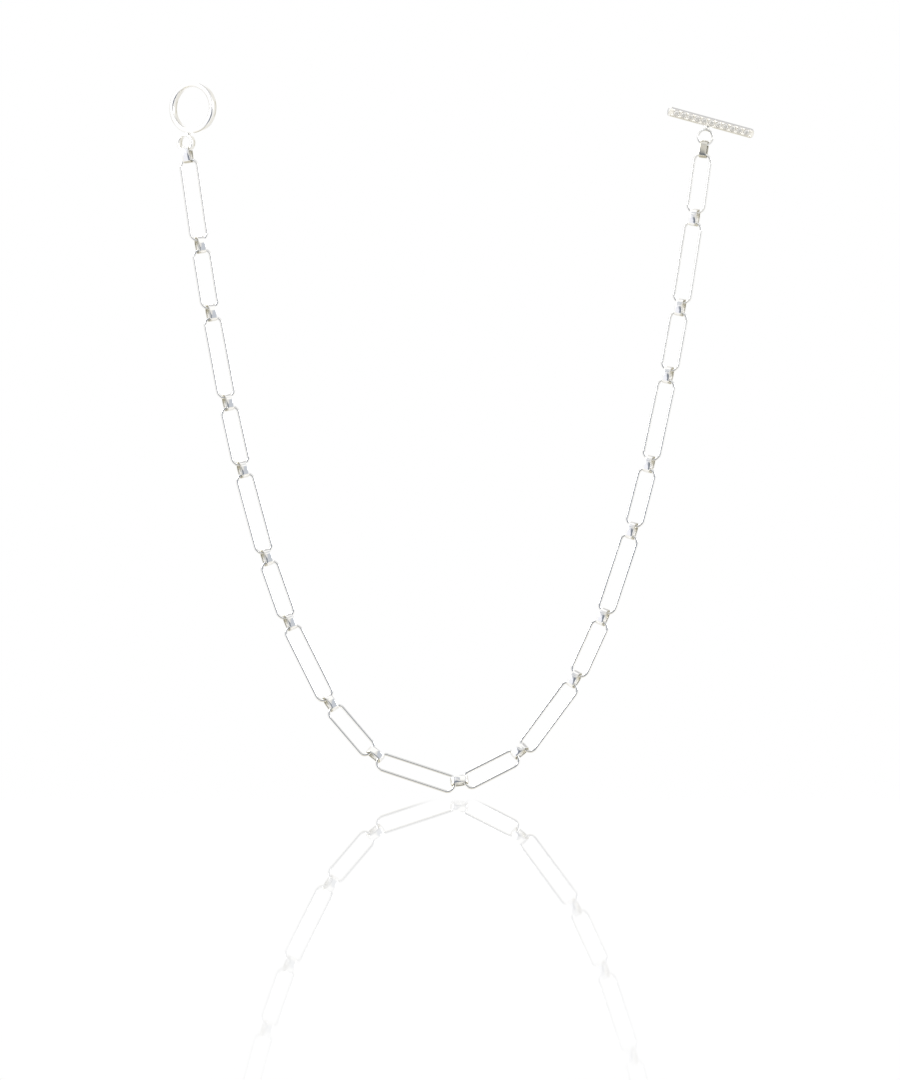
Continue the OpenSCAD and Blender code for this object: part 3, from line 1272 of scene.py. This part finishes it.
@dataclass
class ToggleBar:
    """The round toggle bar with its loop, its neck and its row of bead-set stones.

    Some values are shares: ring_pitch of half the bar, neck_sink of its thickness, bead_rise
    of a bead, kite_rise of the crown, deep_r of a stone's radius, and deep_down of its
    pavilion.
    """

    chain: HangingChain
    bar_l: float = 27.2 * MM
    bar_d: float = 3.1 * MM
    bar_end_r: float = 0.9 * MM
    slope: float = math.radians(14.0)
    turn: float = math.radians(14.0)
    loop_d: float = 5.3 * MM
    loop_t: float = 0.75 * MM
    neck_l: float = 0.5 * MM
    neck_d: float = 1.3 * MM
    loop_off: float = 0.5 * MM
    stone_count: int = 11
    stone_d: float = 1.8 * MM
    stone_pitch: float = 2.24 * MM
    crown: float = 0.28 * MM
    pavilion: float = 0.76 * MM
    table_d: float = 1.0 * MM
    girdle: float = 0.05 * MM
    stone_gap: float = 0.05 * MM
    row_w: float = 2.05 * MM
    row_turn: float = math.radians(10.0)
    bead_off: float = 0.72 * MM
    bead_rise: float = 0.62
    sides: int = 96
    rim_steps: int = 12
    ring_pitch: float = 0.2
    side_rings: int = 4
    loop_sides: int = 28
    # Painted shade on the loop and neck under the bar, and in the stone seats.
    loop_shade: float = 0.5
    neck: Waist = Waist(0.9, 0.35, steps=10, sides=28)
    neck_shade: float = 0.3
    neck_sink: float = 0.125
    seat_sides: int = 32
    seat_top: float = 0.02 * MM
    seat_under: float = 0.2 * MM
    seat_shade: float = 0.2
    seat_shade_from: float = 0.15 * MM
    flat_slack: float = 0.01 * MM
    seat_worked: float = 0.6
    bead_worked: float = 0.7
    mains: int = 8
    kite_rise: float = 0.56
    deep_r: float = 0.28
    deep_down: float = 0.72

    @property
    def up(self) -> float:
        """Height of the bar's middle line above the middle of its loop."""
        return self.loop_d / 2 + self.neck_l + self.bar_d / 2

    @property
    def flat_up(self) -> float:
        """Height of the stones' flat above the bar's middle line."""
        return math.sqrt((self.bar_d / 2) ** 2 - (self.row_w / 2) ** 2)

    def place(self) -> Matrix:
        """Puts the bar's middle at the origin of its own plane, +X along it.

        Returns:
            The bar's matrix.
        """
        hung = self.chain.hung_loop(1, self.loop_d / 2 - self.loop_t, 0.0, self.turn)
        lifted = Matrix.Translation((self.loop_off, self.up, 0.0))
        return hung @ (Matrix.Rotation(-self.slope, 4, "Z") @ lifted)

    def along_row(self, count: int) -> list[Matrix]:
        """The places of the row, whose own +Z points out of the stones.

        Args:
            count: How many places there are.

        Returns:
            A matrix for each.
        """
        turn = Matrix.Rotation(self.row_turn, 4, "X")
        places = ((k - (count - 1) / 2) * self.stone_pitch for k in range(count))
        return [turn @ Matrix.Translation((x, 0.0, self.flat_up)) for x in places]

    def build(self, finishes: Finishes) -> list[bpy.types.Object]:
        """Makes the bar and its stones.

        Args:
            finishes: The finishes.

        Returns:
            The bar, then the stones.
        """
        place = self.place()
        bar = self._cut_bar()
        shape = Shape()
        shape.mesh.from_mesh(bar)
        bpy.data.meshes.remove(bar)
        self._shade_the_seats(shape)
        self._beads(shape)
        self._loop_and_neck(shape)
        piece = shape.piece("toggle_bar_body", place)
        finishes.dress(piece, Slot.SILVER)
        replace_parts(piece, "toggle_bar")
        return [piece, self._stones(place, finishes)]

    def _cut_bar(self) -> bpy.types.Mesh:
        """The round bar with the flat and the seats of its stones cut out.

        Returns:
            The mesh.
        """
        blank = Shape()
        profile = self._bar_profile()
        blank.loft([[Vector((x, u, v)) for u, v in oval(r, r, self.sides)] for x, r in profile])
        bar = blank.piece("blank", Matrix.Identity(4))
        cutter = Shape()
        flat_l = (self.stone_count + 1) * self.stone_pitch
        side = self.bar_d
        bmesh.ops.create_cube(cutter.mesh, size=1.0)
        cutter.move(
            Matrix.Rotation(self.row_turn, 4, "X")
            @ Matrix.Translation((0.0, 0.0, self.flat_up + side / 2))
            @ Matrix.Diagonal((flat_l, side, side, 1.0))
        )
        tools = [cutter.piece("flat_tool", Matrix.Identity(4)), self._seat_tools()]
        for tool in tools:
            cut = bar.modifiers.new("cut", "BOOLEAN")
            cut.object = tool
            cut.operation = "DIFFERENCE"
            cut.solver = "EXACT"
        seen = bpy.context.evaluated_depsgraph_get()
        result = bpy.data.meshes.new_from_object(bar.evaluated_get(seen))
        for spare in [bar, *tools]:
            bpy.data.objects.remove(spare)
        return result

    def _bar_profile(self) -> list[tuple[float, float]]:
        """The plain bar with its rounded rims.

        Returns:
            Place along X and radius of each of its rings, from left to right.
        """
        half, radius, rim = self.bar_l / 2, self.bar_d / 2, self.bar_end_r
        turns = [math.pi / 2 * k / self.rim_steps for k in range(self.rim_steps + 1)]
        left = [(-half + rim - rim * math.cos(a), radius - rim + rim * math.sin(a)) for a in turns]
        places = range(-self.side_rings, self.side_rings + 1)
        between = [(x * half * self.ring_pitch, radius) for x in places]
        return left + between + [(-x, r) for x, r in reversed(left)]

    def _seat_tools(self) -> bpy.types.Object:
        """What is drilled out for the stones.

        Returns:
            All the seats, as one object.
        """
        shape = Shape()
        seat_r = self.stone_d / 2 + self.stone_gap
        sink = self.girdle + self.stone_gap
        tip = -sink - self.pavilion
        levels = [(tip, self.stone_gap), (-sink, seat_r), (self.bar_d / 2, seat_r)]
        for place in self.along_row(self.stone_count):
            rings = (level_ring(r, z, self.seat_sides) for z, r in levels)
            shape.loft([[place @ point for point in ring] for ring in rings])
        return shape.piece("seat_tools", Matrix.Identity(4))

    def _shade_the_seats(self, shape: Shape) -> None:
        """Says how much painted shade and how much satin the cut bar's points have, in the seats
        and on the flat.

        Args:
            shape: The bar's shape.
        """
        shape.painted_shade = shape.mesh.verts.layers.float[PAINTED_SHADE]
        shape.worked = shape.mesh.verts.layers.float[WORKED]
        back = Matrix.Rotation(-self.row_turn, 4, "X")
        for vert in shape.mesh.verts:
            own = back @ vert.co
            below = self.flat_up - own.z
            in_seat = (
                abs(own.y) < self.stone_d / 2 + self.stone_gap
                and self.seat_top < below < self.pavilion + self.seat_under
                and abs(own.x) < self.bar_l / 2 - self.bar_end_r
            )
            # Painted shade, darker deeper down in each seat.
            deep = max(0.0, below - self.seat_shade_from) / self.pavilion
            vert[shape.painted_shade] = self.seat_shade * deep if in_seat else 0.0
            satin = self.seat_worked if in_seat else 0.0
            vert[shape.worked] = 1.0 if abs(below) < self.flat_slack else satin

    def _beads(self, shape: Shape) -> None:
        """Raises the two beads between each stone and the next.

        Args:
            shape: The bar's shape.
        """
        reach = math.hypot(self.stone_pitch / 2, self.bead_off)
        radius = reach - self.stone_d / 2 - self.stone_gap
        rise = (2 * self.bead_rise - 1) * radius
        for place in self.along_row(self.stone_count + 1):
            for side in (-1, 1):
                centre = place @ Vector((0.0, side * self.bead_off, rise))
                shape.ball(centre, radius, self.bead_worked)

    def _loop_and_neck(self, shape: Shape) -> None:
        """Adds the loop under the bar and the neck between them.

        Args:
            shape: The bar's shape.
        """
        loop_r = (self.loop_d - self.loop_t) / 2
        neck_r = self.neck_d / 2
        top = self.up - self.bar_d / 2 + self.bar_d * self.neck_sink
        under = Shape()
        wire = Section.round(self.loop_t, self.loop_sides)
        under.sweep(circle_path(loop_r, self.sides), wire, self.loop_shade)
        under.loft(self.neck.rings(loop_r, top, neck_r, neck_r), self.neck_shade)
        under.move(Matrix.Translation((-self.loop_off, -self.up, 0.0)))
        spare = bpy.data.meshes.new("under")
        under.mesh.to_mesh(spare)
        under.mesh.free()
        shape.mesh.from_mesh(spare)
        bpy.data.meshes.remove(spare)

    def _stones(self, place: Matrix, finishes: Finishes) -> bpy.types.Object:
        """Makes the row of stones.

        Args:
            place: The bar's matrix.
            finishes: The finishes.

        Returns:
            The stones.
        """
        shape = Shape()
        points, faces = self._brilliant()
        for spot in self.along_row(self.stone_count):
            # The table's corners carry full painted shade, which paints the table grey.
            shape.solid([spot @ p for p in points], faces, dark=self.mains)
        piece = shape.piece("row_of_stones", place, flat=True)
        finishes.dress(piece, Slot.STONES)
        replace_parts(piece, "bar_stones")
        return piece

    def _brilliant(self) -> tuple[list[Vector], list[tuple[int, ...]]]:
        """A round brilliant: table, stars, kites, upper halves, girdle, lower halves and mains.

        Returns:
            Its corners and its faces.
        """
        count, around, shift = self.mains, 2 * self.mains, math.pi / self.mains
        rim_r, table_r = self.stone_d / 2, self.table_d / 2
        deep = -self.girdle - self.pavilion * self.deep_down
        rings = [
            level_ring(table_r, self.crown, count),
            level_ring((table_r + rim_r) / 2, self.crown * self.kite_rise, count, shift),
            level_ring(rim_r, 0.0, around),
            level_ring(rim_r, -self.girdle, around),
            level_ring(rim_r * self.deep_r, deep, count, shift),
            [Vector((0.0, 0.0, -self.girdle - self.pavilion))],
        ]
        first_kite, first_top, first_low, first_deep, tip = accumulate(map(len, rings[:-1]))
        down = first_low - first_top
        faces: list[tuple[int, ...]] = [tuple(range(count))]
        for k in range(count):
            kite, kite_before = first_kite + k, first_kite + (k - 1) % count
            here, between, there = (first_top + (2 * k + j) % around for j in range(3))
            faces += [(k, (k + 1) % count, kite), (kite, here, between), (kite, between, there)]
            faces.append((k, kite, here, kite_before))
            under, under_mid, under_next = here + down, between + down, there + down
            faces += [(here, under, under_mid, between), (between, under_mid, under_next, there)]
            main, main_before = first_deep + k, first_deep + (k - 1) % count
            faces += [(under, main, under_mid), (under_mid, main, under_next)]
            faces.append((under, main_before, tip, main))
        return [point for ring in rings for point in ring], faces


# The studio


@dataclass(frozen=True)
class WhiteRoom:
    """Light from all round: white, with soft grey, beige and cream zones that draw the metal.

    The cream and brown zones lie below, the lavender one above, and the overhead one round
    the direction above. The others are rings and stripes round the front, in radians.
    """

    seen: Colour = (1.0, 1.0, 1.0)
    white: Colour = (1.04, 1.04, 1.04)
    cream: Zone = Zone((0.94, 0.91, 0.84), 0.12, 0.5)
    beige: Zone = Zone((0.86, 0.845, 0.80), 1.98, 2.52, 0.10)
    edge: Zone = Zone((0.75, 0.74, 0.70), 1.66, 2.52, 0.12)
    olive: Zone = Zone((0.55, 0.52, 0.40), 2.16, 2.36, 0.07)
    grey: Zone = Zone((0.50, 0.51, 0.54), 2.68, 2.98, 0.05)
    overhead: Zone = Zone((0.62, 0.62, 0.63), 0.82, 0.90)
    brown: Zone = Zone((0.60, 0.57, 0.47), 0.80, 0.92)
    lavender: Zone = Zone((0.80, 0.82, 0.89), 0.72, 1.06, 0.06)
    above: tuple[float, float, float] = (0.43, 0.17, 0.887)
    level_from: float = 0.22
    level_to: float = 0.32
    front_to: float = 0.3
    lavender_from: float = 0.45
    lavender_to: float = 0.55

    def build(self) -> None:
        """Sets the world: plain white to the camera, the zoned room to everything else."""
        world = bpy.data.worlds.new("white_room")
        bpy.context.scene.world = world
        graph = Graph(world)
        way = graph.node("ShaderNodeTexCoord", output="Generated")
        x, y, z = graph.axes(way)
        from_front = (-y).arc_cosine()
        round_about = x.turn_from(-y)
        level = 1 - abs(z).step(self.level_from, self.level_to)
        towards = graph.vector("DOT_PRODUCT", way, self.above, output="Value")
        raised = z.step(self.lavender_from, self.lavender_to)
        colour = self.cream.laid(self.white, -z, (-y).step(0.0, self.front_to))
        colour = self.beige.laid(colour, from_front)
        colour = self.edge.laid(colour, -round_about, level)
        colour = self.olive.laid(colour, from_front, level)
        colour = self.grey.laid(colour, abs(round_about), level)
        colour = self.overhead.laid(colour, towards)
        colour = self.brown.laid(colour, -z)
        colour = self.lavender.laid(colour, from_front, raised)
        room = graph.node("ShaderNodeBackground", {}, {"Color": colour, "Strength": 1.0})
        plain = graph.node("ShaderNodeBackground", {}, {"Color": self.seen, "Strength": 1.0})
        looks = graph.node("ShaderNodeLightPath", output="Is Camera Ray")
        mixed = graph.node("ShaderNodeMixShader", {}, {0: looks, 1: room, 2: plain})
        graph.node("ShaderNodeOutputWorld", {}, {"Surface": mixed})


@dataclass(frozen=True)
class SoftBox:
    """A square lamp with a diffuser."""

    name: str
    place: tuple[float, float, float]
    side: float
    power: float
    colour: Colour = (1.0, 1.0, 1.0)

    def build(self, aim: Vector) -> None:
        """Hangs the lamp and points it.

        Args:
            aim: The point that it looks at.
        """
        lamp = bpy.data.lights.new(self.name, "AREA")
        lamp.shape = "SQUARE"
        lamp.size = self.side
        lamp.energy = self.power
        lamp.color = self.colour
        made = linked(self.name, lamp)
        made.location = self.place
        made.rotation_euler = (aim - Vector(self.place)).to_track_quat("-Z", "Y").to_euler()
        made.visible_camera = False


@dataclass
class Studio:
    """Camera, floor, screen, lamps and room."""

    image_w: int = 900
    image_h: int = 1080
    metres_per_pixel: float = 0.2987 * MM
    origin_x: float = 445.7
    origin_y: float = 144.8
    lens: float = 250.0
    sensor_w: float = 36.0
    clip_near: float = 0.05
    clip_far: float = 200.0
    floor_gap: float = 0.1 * MM
    floor_half: float = 60.0
    screen_r: float = 0.30
    screen_low: float = -0.36
    screen_high: float = 0.36
    screen_half_turn: float = math.radians(72.0)
    screen_steps: int = 48
    boxes: tuple[SoftBox, ...] = (
        SoftBox("key_box", (-0.95, -0.55, 0.35), 0.5, 6.0),
        SoftBox("side_box", (1.0, -0.15, 0.2), 0.5, 3.0),
        SoftBox("back_box", (-0.3, 0.9, 0.8), 0.5, 4.0),
    )

    def build(self, lowest: Vector, highest: Vector) -> None:
        """Sets up the studio round the necklace.

        Args:
            lowest: Lowest corner of the necklace's box.
            highest: Highest corner of it.
        """
        middle = (lowest + highest) / 2
        self._camera()
        self._floor(lowest.z - self.floor_gap, middle)
        self._screen(middle)
        for box in self.boxes:
            box.build(middle)
        WhiteRoom().build()
        bpy.context.scene.view_settings.view_transform = "Standard"
        bpy.context.scene.view_settings.look = "None"

    def _camera(self) -> None:
        """Looks straight at the necklace from the front, far off, with the photograph's framing."""
        eye = bpy.data.cameras.new("front_camera")
        eye.lens = self.lens
        eye.sensor_width = self.sensor_w
        eye.clip_start, eye.clip_end = self.clip_near, self.clip_far
        away = self.lens / self.sensor_w * self.image_h * self.metres_per_pixel
        made = linked("front_camera", eye)
        across = (self.image_w / 2 - self.origin_x) * self.metres_per_pixel
        up = (self.origin_y - self.image_h / 2) * self.metres_per_pixel
        made.location = (across, -away, up)
        made.rotation_euler = (math.pi / 2, 0.0, 0.0)
        bpy.context.scene.camera = made

    def _stand(
        self, name: str, data: bpy.types.Mesh, material: bpy.types.Material
    ) -> bpy.types.Object:
        """Args:
            name: Its name.
            data: Its mesh.
            material: Its material.

        Returns:
            The object.
        """
        data.materials.append(material)
        made = linked(name, data)
        made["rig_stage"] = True
        return made

    def _floor(self, height: float, middle: Vector) -> None:
        """Lays the floor just under the lowest link.

        Args:
            height: Of the floor.
            middle: Middle of the necklace.
        """
        data = bpy.data.meshes.new("floor")
        half = self.floor_half
        corners = [(-half, -half, 0.0), (half, -half, 0.0), (half, half, 0.0), (-half, half, 0.0)]
        data.from_pydata(corners, [], [(0, 1, 2, 3)])
        made = self._stand("floor", data, PaleFloor().material())
        made.location = (middle.x, middle.y, height)
        made.visible_glossy = False
        made.visible_diffuse = False

    def _screen(self, middle: Vector) -> None:
        """Hangs the cloth in a curve before the necklace, unseen by the camera.

        Args:
            middle: Middle of the necklace.
        """
        steps, radius = self.screen_steps, self.screen_r
        turns = [self.screen_half_turn * (2 * k / steps - 1) for k in range(steps + 1)]
        low = [(radius * math.sin(a), -radius * math.cos(a), self.screen_low) for a in turns]
        high = [(x, y, self.screen_high) for x, y, _ in low]
        faces = [(k + 1, k, steps + 1 + k, steps + 2 + k) for k in range(steps)]
        data = bpy.data.meshes.new("screen")
        data.from_pydata(low + high, [], faces)
        made = self._stand("screen", data, ScreenCloth().material())
        made.location = (middle.x, 0.0, 0.0)
        made.visible_camera = False
        made.visible_diffuse = False
        made.visible_transmission = False
        made.visible_shadow = False


def check_against_solids(pieces: Iterable[bpy.types.Object], slack: float = 0.25 * MM) -> None:
    """Logs how far each piece's box is from the box of the solid that it stands for.

    Args:
        pieces: The pieces.
        slack: Differences up to this are fine.
    """
    for piece in pieces:
        spots = [vert.co for vert in piece.data.vertices]
        own = [Vector(pick(p[k] for p in spots) for k in range(3)) for pick in (min, max)]
        node = piece["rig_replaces"][0]
        off = max(abs(a - b) for ours, box in zip(own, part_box(node)) for a, b in zip(ours, box))
        state = "fits" if off < slack else "IS OFF"
        count = len(piece.data.polygons)
        LOG.info("%s: %d faces, %s %s by %.3f mm", piece.name, count, state, node, off / MM)


def main() -> None:
    """Builds the necklace over its frame, piece by piece, and the studio round it."""
    LOG.setLevel(logging.INFO)
    LOG.addHandler(logging.StreamHandler(sys.stdout))
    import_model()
    chain = HangingChain(ChainSizes())
    finishes = Finishes()
    ring = ToggleRing(chain)
    bar = ToggleBar(chain)
    connectors = Connectors(chain, ring.loop_depth, ring.turn, bar.loop_t, bar.turn)
    pieces = [ring.build(finishes), *connectors.build(finishes)]
    pieces += [*Links(chain).build(finishes), *bar.build(finishes)]
    check_against_solids(pieces)
    Studio().build(*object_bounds())
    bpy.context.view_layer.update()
    LOG.info("%d pieces built", len(pieces))


if __name__ == "__main__":
    main()
